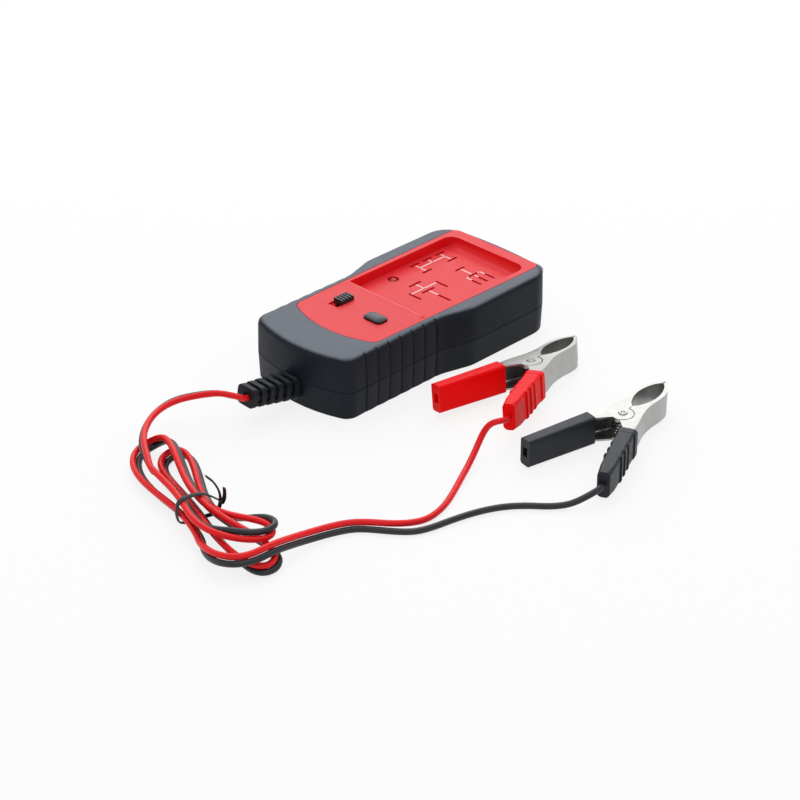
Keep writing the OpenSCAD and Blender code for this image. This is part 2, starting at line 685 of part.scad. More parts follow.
// Coil round the rivet with a leg along each handle
spring_rise = spring_turns * (spring_wire + 0.15);
spring_z = clip_mid - spring_rise / 2;
spring_from = 200;
spring_to = spring_from + 360 * (spring_turns - 1) + 140;
spring_leg = [[9.6, -14.5, 0], [8, -9.4, 0], [6, -5, 0]];
function spring_path() = concat([for (p = spring_leg) [-p[0], p[1], spring_z]],
    [for (i = [0:10 * spring_turns]) let (t = i / (10 * spring_turns), a = mix(spring_from, spring_to, t))
        [spring_r * cos(a), spring_r * sin(a), spring_z + spring_rise * t]],
    [for (p = reversed(spring_leg)) [p[0], p[1], spring_z + spring_rise]]);

module clip_spring() color("#9a9a98") {
    tube(spring_path(), spring_wire, 6);
}

// Sleeve on a handle: an upright block along the handle with a channel-shaped hollow
module sleeve_block(at, width, height, r) {
    translate([at[0], at[1], clip_mid]) rotate(-handle_turn) rotate([90, 0, 0]) translate([0, 0, -0.5])
        linear_extrude(1) offset(r) square([width - 2 * r, height - 2 * r], center = true);
}

module handle_hollow() {
    translate([handle_root[0], handle_root[1], clip_mid]) rotate(-handle_turn)
        translate([-handle_width / 2 - 0.1, -hollow_length, -clip_height / 2 - 0.1])
            cube([handle_width + 0.2, hollow_length + 3, clip_height + 0.2]);
}

// Along the lead inside a sleeve, from the crimp to the sleeve's end
module on_lead_line(from) {
    translate([handle_root[0], handle_root[1], clip_mid]) rotate(-handle_turn)
        translate([lead_shift, -from, 0]) rotate([90, 0, 0]) children();
}

module plain_sleeve(shade) color(shade) difference() {
    hull() {
        sleeve_block(handle_root + 1.2 * handle_along, 6.9, clip_height + 1.6, 1.4);
        sleeve_block(handle_root + (sleeve_length - 1.5) * handle_along, 6, clip_height + 0.9, 1.3);
    }
    handle_hollow();
    translate([handle_root[0], handle_root[1], clip_mid]) rotate(-handle_turn)
        translate([-1.4, -sleeve_length - 1, -2.2]) cube([2.8, 4, 4.4]);
}

module ribbed_sleeve(shade) color(shade) mirror([1, 0, 0]) difference() {
    union() {
        hull() {
            sleeve_block(handle_root + 3.5 * handle_along, 7.4, clip_height + 1.6, 1.6);
            sleeve_block(handle_root + (hollow_length + 1) * handle_along, 6.4, clip_height + 1, 1.3);
            sleeve_block(handle_root + (sleeve_length - 0.5) * handle_along, 5.4, clip_height + 0.4, 2);
        }
        hull() {
            sleeve_block(handle_root + 1.2 * handle_along, 8.6, clip_height + 1.8, 2.1);
            sleeve_block(handle_root + 3.4 * handle_along, 8.4, clip_height + 1.8, 2.1);
        }
        for (s = [12, 17, 22]) sleeve_block(handle_root + s * handle_along, 7.9, clip_height + 1.1, 1.2);
    }
    handle_hollow();
    on_lead_line(hollow_length - 1) cylinder(r = lead_d / 2 + 0.1, h = sleeve_length - hollow_length + 3);
}

// Rolled barrel that grips the lead inside the ribbed sleeve
module crimp(shade) color(shade) mirror([1, 0, 0]) on_lead_line(crimp_s[0]) difference() {
    cylinder(r = lead_d / 2 + 0.5, h = crimp_s[1] - crimp_s[0]);
    translate([0, 0, -1]) cylinder(r = lead_d / 2 + 0.02, h = crimp_s[1] - crimp_s[0] + 2);
}

module place_black_clip() {
    translate(black_clip_at) rotate(black_clip_turn) children();
}

module place_red_clip() {
    translate(red_clip_at) rotate([0, 0, red_clip_turn[2]]) rotate([red_clip_turn[0], 0, 0])
        rotate([0, red_clip_turn[1], 0]) translate([0, 0, -clip_mid]) children();
}

// ---- Leads ----

function turn_x(p, a) = [p[0], p[1] * cos(a) - p[2] * sin(a), p[1] * sin(a) + p[2] * cos(a)];
function turn_y(p, a) = [p[0] * cos(a) + p[2] * sin(a), p[1], p[2] * cos(a) - p[0] * sin(a)];
function turn_z(p, a) = [p[0] * cos(a) - p[1] * sin(a), p[0] * sin(a) + p[1] * cos(a), p[2]];

// Places and directions on the strain relief and on the clips, in the frame of the housing
function relief_turned(p) = turn_z(turn_x(p, relief_tilt), relief_turn);
function on_relief(p) = relief_at + relief_turned(p);
function red_turned(p) = turn_z(turn_x(turn_y(p, red_clip_turn[1]), red_clip_turn[0]), red_clip_turn[2]);
function black_turned(p) = turn_z(p, black_clip_turn);
lead_along = [sin(handle_turn), -cos(handle_turn), 0];
function on_lead(s) = [-handle_root[0], handle_root[1], 0] + s * lead_along
    + lead_shift * [-cos(handle_turn), -sin(handle_turn), 0];
function on_red_lead(s) = red_clip_at + red_turned(on_lead(s));
function on_black_lead(s) = black_clip_at + [0, 0, clip_mid] + black_turned(on_lead(s));

// Path between two fixed ends, with a straight stretch at both
function lead_path(start, leave, points, end, arrive) =
    concat([start, start + leave], points, [end - arrive, end]);

// Strand that lies against another one: side is the direction to it at each share of the way
function beside(path, sides) = [for (i = [0:len(path) - 1])
    path[i] + lead_pitch * square_to(sides[i], tangent(path, i))];

// Hank: half turns between crossings of the tied waist; u runs along it, v across
function hank_place(p) = [hank_at[0], hank_at[1], 0] + turn_z(p, hank_turn);
function waist_curve(k, bend, u) =
    [u, waist[k][0] + waist[k][1] * u + bend[0] * u * u + bend[1] * u * u * u, waist[k][2]];
function half_turn(k, a) = let (from = waist[k], to = waist[k + 1], b = bights[k], early = a < 0 ? 0 : 1,
    c = cos(a) * cos(a), s = sin(a), t = (1 + s) / 2, u = b[0] * cos(a), slope = waist[k + early][1])
    [u, mix(from[0], to[0], t) + (b[1] - (from[0] + to[0]) / 2) * c + sign(b[0]) * b[2 + early] * s * c
        + slope * u * pow(s, 4),
        mix(from[2], to[2], t) + (b[4] - (from[2] + to[2]) / 2) * c + b[5 + early] * pow(sin(2 * a), 2)];
hank_middle = concat([for (i = [5:-1:1]) waist_curve(0, hank_ends[0][1], -i * hank_ends[0][0] / 5)],
    [for (k = [0:3], i = [0:hank_steps - 1]) half_turn(k, -90 + 180 * i / hank_steps)],
    [for (i = [0:4]) waist_curve(4, hank_ends[1][1], i * hank_ends[1][0] / 4)]);
hank_points = [for (p = hank_middle) hank_place(p)];
hank_in_along = unit(hank_points[1] - hank_points[0]);
hank_out_along = unit(hank_points[len(hank_points) - 1] - hank_points[len(hank_points) - 2]);
red_hank_path = concat([hank_points[0] - lead_d * hank_in_along], hank_points,
    [hank_points[len(hank_points) - 1] + lead_d * hank_out_along]);
hank_sides = concat([for (i = [0:5]) waist_side],
    [for (k = [0:3], i = [0:hank_steps - 1]) mix(waist_side, bight_sides[k],
        pow(cos(-90 + 180 * i / hank_steps), 2))],
    [for (i = [0:5]) waist_side]);
black_hank_path = beside(red_hank_path, hank_sides);
hank_last = len(red_hank_path) - 1;

// Least clear distance between two strands, or of one to itself beyond a few rings
function clear_between(a, b, skip) = min([for (i = [0:len(a) - 1], j = [0:len(b) - 1])
    if (abs(i - j) > skip) norm(a[i] - b[j])]) - lead_d;
echo(hank_gaps = [clear_between(red_hank_path, red_hank_path, 3),
    clear_between(black_hank_path, black_hank_path, 3), clear_between(red_hank_path, black_hank_path, 3)]);

// From the strain relief to the hank, and from the hank to the clips
function blend(keys, t) = let (i = min(floor(t * (len(keys) - 1)), len(keys) - 2))
    mix(keys[i], keys[i + 1], t * (len(keys) - 1) - i);
red_in_path = lead_path(on_relief([lead_pitch / 2, -relief_length + 0.2, 0]),
    relief_turned([0, -2, 0]), in_points, red_hank_path[0], lead_d * hank_in_along);
black_in_path = beside(red_in_path,
    [for (i = [0:len(red_in_path) - 1]) blend(in_sides, i / (len(red_in_path) - 1))]);
red_out_path = lead_path(red_hank_path[hank_last], lead_d * hank_out_along,
    concat(pair_points, red_out_points, [on_red_lead(sleeve_length + 3), on_red_lead(sleeve_length)]),
    on_red_lead(lead_stop), -lead_d * red_turned(lead_along));
pair_last = len(pair_points);
black_pair_path = beside([for (i = [0:pair_last + 1]) red_out_path[i]],
    [for (i = [0:pair_last + 1]) mix(waist_side, pair_side, min(1, 4 * i / pair_last))]);
black_out_path = concat([for (i = [0:pair_last]) black_pair_path[i]], black_out_points,
    [for (s = [sleeve_length + 3, sleeve_length, lead_stop + lead_d, lead_stop]) on_black_lead(s)]);

module lead_tail(side) {
    start = on_relief([side * lead_pitch / 2, relief_root + 0.1, 0]);
    points = [for (p = tail_points) [side * p[0], p[1], p[2]]];
    tube(lead_path(start, lead_d * relief_turned([0, 1, 0]), points,
        [side * tail_pad[0], tail_pad[1], board_top], [0, 0, -lead_d]), lead_d, 8);
}

module red_lead_tail() color(lead_red) lead_tail(1);
module black_lead_tail() color(lead_black) lead_tail(-1);
module red_lead_in() color(lead_red) tube(red_in_path, lead_d, 8);
module black_lead_in() color(lead_black) tube(black_in_path, lead_d, 8);
module red_hank() color(lead_red) tube(red_hank_path, lead_d, 6);
module black_hank() color(lead_black) tube(black_hank_path, lead_d, 6);
module red_lead_out() color(lead_red) tube(red_out_path, lead_d, 8);
module black_lead_out() color(lead_black) tube(black_out_path, lead_d, 8);
module twist_tie() color(control_black)
    tube([for (p = smooth_path(tie_points, 3)) hank_place(p)], tie_wire, 6);

module red_fixed_jaw() place_red_clip() fixed_jaw();
module red_moving_jaw() place_red_clip() moving_jaw();
module red_clip_spring() place_red_clip() clip_spring();
module red_clip_rivet() place_red_clip() clip_rivet();
module red_plain_sleeve() place_red_clip() plain_sleeve(lead_red);
module red_ribbed_sleeve() place_red_clip() ribbed_sleeve(lead_red);
module red_crimp() place_red_clip() crimp(steel_grey);
module black_fixed_jaw() place_black_clip() fixed_jaw();
module black_moving_jaw() place_black_clip() moving_jaw();
module black_clip_spring() place_black_clip() clip_spring();
module black_clip_rivet() place_black_clip() clip_rivet();
module black_plain_sleeve() place_black_clip() plain_sleeve(lead_black);
module black_ribbed_sleeve() place_black_clip() ribbed_sleeve(lead_black);
module black_crimp() place_black_clip() crimp(steel_grey);

lower_shell();
upper_shell();
face_panel();
case_screws();
circuit_board();
board_screws();
slide_switch_body();
slide_switch_knob();
test_button();
button_switch_body();
status_led();
contact_sleeves(slots_a);  // contact_sleeves_a
contact_sleeves(slots_b);  // contact_sleeves_b
contact_sleeves(slots_c);  // contact_sleeves_c
controller_chip();
transistors();
resistors();
capacitor();
red_lead_tail();
black_lead_tail();
strain_relief();
red_lead_in();
black_lead_in();
red_hank();
black_hank();
red_lead_out();
black_lead_out();
twist_tie();
red_fixed_jaw();
red_moving_jaw();
red_clip_spring();
red_clip_rivet();
red_plain_sleeve();
red_ribbed_sleeve();
red_crimp();
black_fixed_jaw();
black_moving_jaw();
black_clip_spring();
black_clip_rivet();
black_plain_sleeve();
black_ribbed_sleeve();
black_crimp();
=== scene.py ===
"""Car relay tester with two battery clips: materials, cords, trim, floor, lights and camera."""

import math

import bpy
from mathutils import Matrix, Vector


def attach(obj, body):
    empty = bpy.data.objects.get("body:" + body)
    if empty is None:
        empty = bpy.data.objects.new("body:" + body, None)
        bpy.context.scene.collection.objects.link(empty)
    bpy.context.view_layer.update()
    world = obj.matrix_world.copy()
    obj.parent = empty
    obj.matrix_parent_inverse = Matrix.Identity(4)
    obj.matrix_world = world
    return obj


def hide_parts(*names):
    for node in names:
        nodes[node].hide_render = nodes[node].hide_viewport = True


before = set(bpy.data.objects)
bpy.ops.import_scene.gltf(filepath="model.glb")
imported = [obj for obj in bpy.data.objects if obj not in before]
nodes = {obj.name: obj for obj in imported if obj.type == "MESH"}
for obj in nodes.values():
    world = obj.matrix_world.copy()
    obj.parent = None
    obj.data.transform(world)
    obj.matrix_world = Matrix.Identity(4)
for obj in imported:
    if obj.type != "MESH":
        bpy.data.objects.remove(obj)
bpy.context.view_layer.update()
MM = 0.001

# ---- Camera: the photograph's place and direction ----

CAMERA_AT = (0.63881, -0.64284, 0.50722)
CAMERA_BACK = (0.6075, -0.6114, 0.5071)
CAMERA_RIGHT = (0.7094, 0.7049, 0)

camera = bpy.data.objects.new("camera", bpy.data.cameras.new("camera"))
bpy.context.scene.collection.objects.link(camera)
camera.data.sensor_width = 36
camera.data.lens = 105.83
camera.data.clip_start = 0.01
camera.data.clip_end = 20
back = Vector(CAMERA_BACK).normalized()
right = Vector(CAMERA_RIGHT).normalized()
camera_turn = Matrix((right, back.cross(right), back)).transposed().to_4x4()
camera.matrix_world = Matrix.Translation(CAMERA_AT) @ camera_turn
bpy.context.scene.camera = camera

# ---- Route of the leads, in millimetres as in part.scad ----

LEAD_D = 2.6
LEAD_PITCH = 2.8
# A drawn circle has flats, so its radius is a little larger for the same mean width.
ROUND_SHARE = 1.03
RELIEF_AT = Vector((0.6, -65, 9.2))
RELIEF_TURN = -2
RELIEF_TILT = -9.5
RELIEF_LENGTH = 26.4
# The lead's route starts a little inside the strain relief's end and first goes straight on.
RELIEF_LAP = 0.2
RELIEF_STEP = 2
HANDLE_TURN = 17.4
HANDLE_ROOT = (-8.8, -9.4)
# The lead lies a little off the middle of its sleeve and ends at LEAD_STOP from the handle's root.
LEAD_SHIFT = 0.4
LEAD_STOP = 20.5
SLEEVE_LENGTH = 35.5
SLEEVE_GAP = 3
CLIP_MID = 5.8
BLACK_CLIP_AT = Vector((118.3, 11, 0.85))
BLACK_CLIP_TURN = 7
RED_CLIP_AT = Vector((65.4, 14.1, 8.7))
RED_CLIP_TURN = (-3.5, -8, 6.3)
IN_POINTS = [(0.4, -95.2, 15.4), (-2.2, -97.8, 16.4), (-6.1, -99.5, 16.2), (-11, -101.8, 14.8),
    (-16.8, -106.2, 12.9), (-20.6, -112, 11.6), (-21, -119.6, 10.8), (-17.8, -128, 10.4),
    (-11.6, -136, 10.3), (-4.8, -141.6, 10.2), (3, -146.4, 9.9)]
PAIR_POINTS = [(65.8, -170.2, 6.8), (74.4, -171.4, 8.8), (80.8, -169.4, 10), (84, -165, 10.4),
    (84.8, -159.2, 10.4), (84.8, -152.8, 10), (84, -146.6, 8.4), (83.1, -139.4, 6.4),
    (83.2, -132, 4.9), (84.4, -123.4, 3.8), (87.8, -115.6, 3.6), (93, -110.2, 3.6),
    (98.4, -105.8, 3.5)]
RED_OUT_POINTS = [(102.6, -99.6, 2.6), (105, -91.4, 1.5), (104.1, -82.4, 1.4), (100.9, -73.4, 1.4),
    (94.7, -61, 1.6), (89.6, -49.8, 3), (86.4, -41.8, 6.5), (85.8, -37.8, 10.5), (87.6, -36, 14),
    (90, -34.2, 15.6)]
BLACK_OUT_POINTS = [(106.2, -102.6, 1.4), (110.2, -94.4, 1.4), (112.1, -85.2, 1.4),
    (114.4, -76.2, 1.4), (117.5, -68, 1.4), (121.7, -61, 1.4), (127, -55.2, 1.4),
    (133, -50.2, 1.5), (138.2, -44.4, 2.2), (141.7, -38.8, 4.6)]
PAIR_SIDE = (0.5, -0.5, -0.75)
IN_SIDES = [(-1, 0, 0), (-0.8, 0.3, -0.5), (-0.9, 0.6, -0.4), (-0.4, -0.2, -1), (0.6, 0.4, -0.7)]
HANK_AT = Vector((35.9, -152.1, 0))
HANK_TURN = -9.8
HANK_STEPS = 48
HANK_END_POINTS = 5
ROUTE_STEPS = 6
EASE_ROUNDS = 8
# Each crossing of the waist: its place across, its slope and its height.
WAIST = [(-4.5, -0.32, 9.6), (6, -0.23, 4.9), (0, -0.14, 4.9), (1.4, -0.13, 9.6), (-6, 0.07, 4.9)]
# Each fold: its reach, its middle across, its bulge before and after the tip, its height, and how
# far it lifts before and after the tip.
BIGHTS = [(43, 7.6, 14, 14, 9.5, 0.4, 3.2), (-40, 14.9, 12.2, 12.2, 4.3, 0, 0),
    (51.8, 3.2, 16.5, 16.5, 3.9, 2.4, 0), (-51.2, 9.1, 13.5, 14.4, 4.2, 4, 0)]
# The hank's first and last stretch: its length and the two terms of its bow.
HANK_ENDS = [(22, (-0.028, -0.00075)), (20, (-0.012, 0))]
# The side on which the black lead lies against the red one, at the waist and at each fold's tip.
WAIST_SIDE = Vector((0.6, 0.4, -0.7))
BIGHT_SIDES = [(-0.4, 0.5, 0.75), (0.5, 0.4, -0.8), (0.6, 0.3, -0.74), (0.6, 0.6, -0.5)]
TIE_POINTS = [(-5.6, 10.4, 11.2), (-1.5, 10.9, 10.8), (2.5, 11.1, 8.8), (4.6, 10.6, 6.2),
    (5.2, 9.6, 3), (5, 7.6, 0.8), (4.6, 3, 0.6), (4.2, -3.6, 0.6), (3.9, -7, 1.2),
    (3.6, -8.4, 3.4), (3.5, -8.6, 7.6), (3.5, -6.9, 11), (3.8, -2.6, 11.8), (4.4, 2.2, 11.4),
    (5, 5.6, 9.4), (5.6, 8.6, 7), (6.2, 10.4, 5.6), (6.7, 11.3, 8), (6.9, 11.3, 12)]
TIE_CENTRE = Vector((0, 1, 6.5))
TIE_STEPS = 8
TIE_SECTION = ((1.15, 0.12), (0.45, 0.2), (0.22, 0.48), (-0.22, 0.48), (-0.45, 0.2), (-1.15, 0.12),
    (-1.15, -0.12), (-0.45, -0.2), (0.45, -0.2), (1.15, -0.12))

handle_angle = math.radians(HANDLE_TURN)
lead_along = Vector((math.sin(handle_angle), -math.cos(handle_angle), 0))
lead_across = Vector((-math.cos(handle_angle), -math.sin(handle_angle), 0))


def turned(point, x=0, y=0, z=0):
    """The point turned about Y, then X, then Z, in degrees."""
    spin = (Matrix.Rotation(math.radians(z), 3, "Z") @ Matrix.Rotation(math.radians(x), 3, "X")
        @ Matrix.Rotation(math.radians(y), 3, "Y"))
    return spin @ Vector(point)


def on_relief(point):
    """A point of the strain relief's own frame, in the object's frame."""
    return RELIEF_AT + turned(point, x=RELIEF_TILT, z=RELIEF_TURN)


def on_red_clip(point):
    """A point of the red clip's own frame, in the object's frame."""
    return RED_CLIP_AT + turned(point, *RED_CLIP_TURN)


def on_black_clip(point):
    """A point of the black clip's own frame, in the object's frame."""
    return BLACK_CLIP_AT + Vector((0, 0, CLIP_MID)) + turned(point, z=BLACK_CLIP_TURN)


def on_lead(distance):
    """A point on the lead inside a sleeve, in the clip's own frame."""
    root = Vector((-HANDLE_ROOT[0], HANDLE_ROOT[1], 0))
    return root + distance * lead_along + LEAD_SHIFT * lead_across


def mix(a, b, t):
    """The value at share t of the way from a to b."""
    return a + (b - a) * t


def tangent(path, i):
    """The path's direction at point i."""
    return (path[min(i + 1, len(path) - 1)] - path[max(i - 1, 0)]).normalized()


def square_to(v, t):
    """The direction nearest to v that is square to the unit vector t."""
    return (v - v.dot(t) * t).normalized()


def beside(path, sides):
    """The strand that lies against another one, towards sides[i] at point i."""
    return [p + LEAD_PITCH * square_to(Vector(sides[i]), tangent(path, i))
        for i, p in enumerate(path)]


def blend(keys, t):
    """The vector at share t of the way through evenly spaced keys."""
    i = min(int(t * (len(keys) - 1)), len(keys) - 2)
    return mix(Vector(keys[i]), Vector(keys[i + 1]), t * (len(keys) - 1) - i)


def smooth_path(points, steps):
    """A smooth line through the points, with so many steps from one to the next."""
    out = []
    last = len(points) - 1
    for i in range(last):
        a, b = points[max(i - 1, 0)], points[i]
        c, d = points[i + 1], points[min(i + 2, last)]
        for k in range(steps):
            t = k / steps
            out.append(b + t / 2 * (c - a) + t * t * (a - 2.5 * b + 2 * c - d / 2)
                + t ** 3 * (1.5 * (b - c) + (d - a) / 2))
    return out + [points[last]]


def hank_place(point):
    """A point of the hank's own frame, in the object's frame."""
    return HANK_AT + turned(point, z=HANK_TURN)


def waist_curve(k, bow, u):
    """The hank's first or last stretch, at distance u from the waist."""
    across, slope, height = WAIST[k]
    return Vector((u, across + slope * u + bow[0] * u ** 2 + bow[1] * u ** 3, height))


def half_turn(k, angle):
    """One fold of the hank between two crossings of its waist, angle from -90 to 90 degrees."""
    start, stop = WAIST[k], WAIST[k + 1]
    reach, across, bulge_before, bulge_after, height, lift_before, lift_after = BIGHTS[k]
    if angle < 0:
        bulge, lift, slope = bulge_before, lift_before, start[1]
    else:
        bulge, lift, slope = bulge_after, lift_after, stop[1]
    a = math.radians(angle)
    c, s = math.cos(a) ** 2, math.sin(a)
    t, u = (1 + s) / 2, reach * math.cos(a)
    v = (mix(start[0], stop[0], t) + (across - (start[0] + stop[0]) / 2) * c
        + math.copysign(bulge, reach) * s * c + slope * u * s ** 4)
    z = (mix(start[2], stop[2], t) + (height - (start[2] + stop[2]) / 2) * c
        + lift * math.sin(2 * a) ** 2)
    return Vector((u, v, z))


def hank_paths():
    """Both strands of the hank, each with one short straight step more at its two ends."""
    (first_reach, first_bow), (last_reach, last_bow) = HANK_ENDS
    line = [waist_curve(0, first_bow, -i * first_reach / HANK_END_POINTS)
        for i in range(HANK_END_POINTS, 0, -1)]
    sides = [WAIST_SIDE] * (HANK_END_POINTS + 1)
    for k, tip_side in enumerate(BIGHT_SIDES):
        for i in range(HANK_STEPS):
            angle = -90 + 180 * i / HANK_STEPS
            line.append(half_turn(k, angle))
            share = math.cos(math.radians(angle)) ** 2
            sides.append(mix(WAIST_SIDE, Vector(tip_side), share))
    line += [waist_curve(-1, last_bow, i * last_reach / (HANK_END_POINTS - 1))
        for i in range(HANK_END_POINTS)]
    sides += [WAIST_SIDE] * (HANK_END_POINTS + 1)
    line = [hank_place(p) for p in line]
    start = line[0] - LEAD_D * (line[1] - line[0]).normalized()
    stop = line[-1] + LEAD_D * (line[-1] - line[-2]).normalized()
    red = [start] + line + [stop]
    return red, beside(red, sides)


red_hank, black_hank = hank_paths()
hank_in = (red_hank[1] - red_hank[0]).normalized()
hank_out = (red_hank[-1] - red_hank[-2]).normalized()
relief_start = on_relief((LEAD_PITCH / 2, -RELIEF_LENGTH + RELIEF_LAP, 0))
relief_way = turned((0, -RELIEF_STEP, 0), x=RELIEF_TILT, z=RELIEF_TURN)
red_in = ([relief_start, relief_start + relief_way]
    + [Vector(p) for p in IN_POINTS] + [red_hank[0] - LEAD_D * hank_in, red_hank[0]])
black_in = beside(red_in, [blend(IN_SIDES, i / (len(red_in) - 1)) for i in range(len(red_in))])
red_end = on_red_clip(on_lead(LEAD_STOP))
red_out = ([red_hank[-1], red_hank[-1] + LEAD_D * hank_out]
    + [Vector(p) for p in PAIR_POINTS + RED_OUT_POINTS]
    + [on_red_clip(on_lead(SLEEVE_LENGTH + SLEEVE_GAP)), on_red_clip(on_lead(SLEEVE_LENGTH)),
        red_end + LEAD_D * turned(lead_along, *RED_CLIP_TURN), red_end])
# Past the hank the black lead comes round to the pair's side within a quarter of the pair's way.
pair = len(PAIR_POINTS)
black_pair = beside(red_out[:pair + 2],
    [mix(WAIST_SIDE, Vector(PAIR_SIDE), min(1, 4 * i / pair)) for i in range(pair + 2)])
black_out = (black_pair[:pair + 1] + [Vector(p) for p in BLACK_OUT_POINTS]
    + [on_black_clip(on_lead(s)) for s in (SLEEVE_LENGTH + SLEEVE_GAP, SLEEVE_LENGTH,
        LEAD_STOP + LEAD_D, LEAD_STOP)])


def joined(first, middle, last):
    """The three stretches of a lead as one line."""
    before = smooth_path(first[:-1] + [middle[0]], ROUTE_STEPS)
    after = smooth_path([middle[-1]] + last[1:], ROUTE_STEPS)
    return before[:-1] + middle + after[1:]


def eased(route):
    """The same line without the small kinks where its stretches meet."""
    for _ in range(EASE_ROUNDS):
        inner = [b / 2 + (a + c) / 4 for a, b, c in zip(route, route[1:], route[2:])]
        route = [route[0]] + inner + [route[-1]]
    return route


red_route = eased(joined(red_in, red_hank, red_out))
black_route = eased(joined(black_in, black_hank, black_out))


# ---- Pieces: objects made from rings and curves ----

def new_object(name, data, material, body):
    """An object in the scene that rides on a body and has one material."""
    piece = bpy.data.objects.new(name, data)
    bpy.context.scene.collection.objects.link(piece)
    data.materials.append(material)
    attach(piece, body)
    return piece


def mesh_from(name, vertices, faces, smooth=True):
    """A mesh in metres from vertices in millimetres."""
    mesh = bpy.data.meshes.new(name)
    mesh.from_pydata([Vector(v) * MM for v in vertices], [], faces)
    mesh.polygons.foreach_set("use_smooth", [smooth] * len(mesh.polygons))
    mesh.update()
    return mesh


def ring_skin(rings):
    """Vertices and faces through rings of the same number of points, capped at both ends."""
    n, m = len(rings[0]), len(rings)
    faces = []
    for k in range(m - 1):
        for i in range(n):
            j, b = (i + 1) % n, k + 1
            faces.append((k * n + i, k * n + j, b * n + j, b * n + i))
    faces.append(tuple(range(n - 1, -1, -1)))
    faces.append(tuple((m - 1) * n + i for i in range(n)))
    return [p for ring in rings for p in ring], faces


def cord_curve(name, route, material):
    """A lead as a round curve along its route."""
    curve = bpy.data.curves.new(name, "CURVE")
    curve.dimensions = "3D"
    curve.bevel_depth = LEAD_D / 2 * ROUND_SHARE * MM
    curve.bevel_resolution = 4
    curve.use_fill_caps = True
    spline = curve.splines.new("POLY")
    spline.points.add(len(route) - 1)
    for point, place in zip(spline.points, route):
        point.co = (*(place * MM), 1)
    spline.use_smooth = True
    return new_object(name, curve, material, "housing")


# ---- Materials ----

# Plastic: the sizes of the mottling and of the gloss's patches in cells for each metre, the grain's
# strength, and how much of a surface's normal points up where the painted sheen (a paler colour on
# up-facing surfaces, standing in for light from above) starts and is full.
MOTTLE_CELLS = 60
GLOSS_CELLS = 240
GRAIN_STRENGTH = 0.35
SHEEN_FACES_UP = (0.74, 0.99)
# Metal: the same sizes, the marks' strength, and how dark tarnish is where it has no tint.
CLOUD_CELLS = 130
METAL_GLOSS_CELLS = 320
MARK_STRENGTH = 0.2
TARNISH = 0.86
# The colour mix node repeats its sockets' names, so these are their numbers.
MIX_SHARE, MIX_LOW, MIX_HIGH, MIX_RESULT = 0, 6, 7, 2


def node_of(tree, kind, **values):
    """A new node; a name that starts with in_ sets a socket, and any other a property."""
    item = tree.nodes.new(kind)
    for key, value in values.items():
        if key.startswith("in_"):
            item.inputs[key[3:].replace("_", " ")].default_value = value
        else:
            setattr(item, key, value)
    return item


def start_material(name, **sockets):
    """A material with one principled shader; sockets are numbers that are the same all over."""
    material = bpy.data.materials.new(name)
    material.use_nodes = True
    tree = material.node_tree
    shader = tree.nodes["Principled BSDF"]
    for key, value in sockets.items():
        shader.inputs[key.replace("_", " ")].default_value = value
    where = tree.nodes.new("ShaderNodeTexCoord").outputs["Object"]
    return material, tree, shader, where


def noise(tree, where, scale, detail, stretch=None):
    """Noise in the object's own space; scale is in cells for each metre."""
    if stretch:
        mapping = node_of(tree, "ShaderNodeMapping")
        mapping.inputs["Scale"].default_value = stretch
        tree.links.new(where, mapping.inputs["Vector"])
        where = mapping.outputs["Vector"]
    item = node_of(tree, "ShaderNodeTexNoise", in_Scale=scale, in_Detail=detail, in_Roughness=0.55)
    tree.links.new(where, item.inputs["Vector"])
    return item.outputs["Fac"]


def ranged(tree, value, low, high, start=0.3, stop=0.7):
    """A number that follows a noise from low to high."""
    item = node_of(tree, "ShaderNodeMapRange")
    for key, number in (("From Min", start), ("From Max", stop), ("To Min", low), ("To Max", high)):
        item.inputs[key].default_value = number
    tree.links.new(value, item.inputs["Value"])
    return item.outputs["Result"]


def shades(tree, value, *stops):
    """A colour that follows a noise through (place, colour) stops."""
    ramp = node_of(tree, "ShaderNodeValToRGB")
    for _ in stops[2:]:
        ramp.color_ramp.elements.new(0.5)
    for element, (place, colour) in zip(ramp.color_ramp.elements, stops):
        element.position = place
        element.color = (*colour, 1)
    tree.links.new(value, ramp.inputs["Fac"])
    return ramp.outputs["Color"]


def bump(tree, shader, height, strength, distance):
    """Fine relief that follows a noise; distance is in metres."""
    item = node_of(tree, "ShaderNodeBump", in_Strength=strength, in_Distance=distance)
    tree.links.new(height, item.inputs["Height"])
    tree.links.new(item.outputs["Normal"], shader.inputs["Normal"])


def varied(tree, value, colour, vary):
    """A colour that is a little darker and paler with a noise."""
    dark = tuple(c * (1 - vary) for c in colour)
    pale = tuple(min(1, c * (1 + vary)) for c in colour)
    return shades(tree, value, (0.3, dark), (0.7, pale))


def mixed(tree, share, low, high):
    """A colour between two others."""
    item = node_of(tree, "ShaderNodeMix", data_type="RGBA")
    for socket, source in ((MIX_SHARE, share), (MIX_LOW, low), (MIX_HIGH, high)):
        tree.links.new(source, item.inputs[socket])
    return item.outputs[MIX_RESULT]


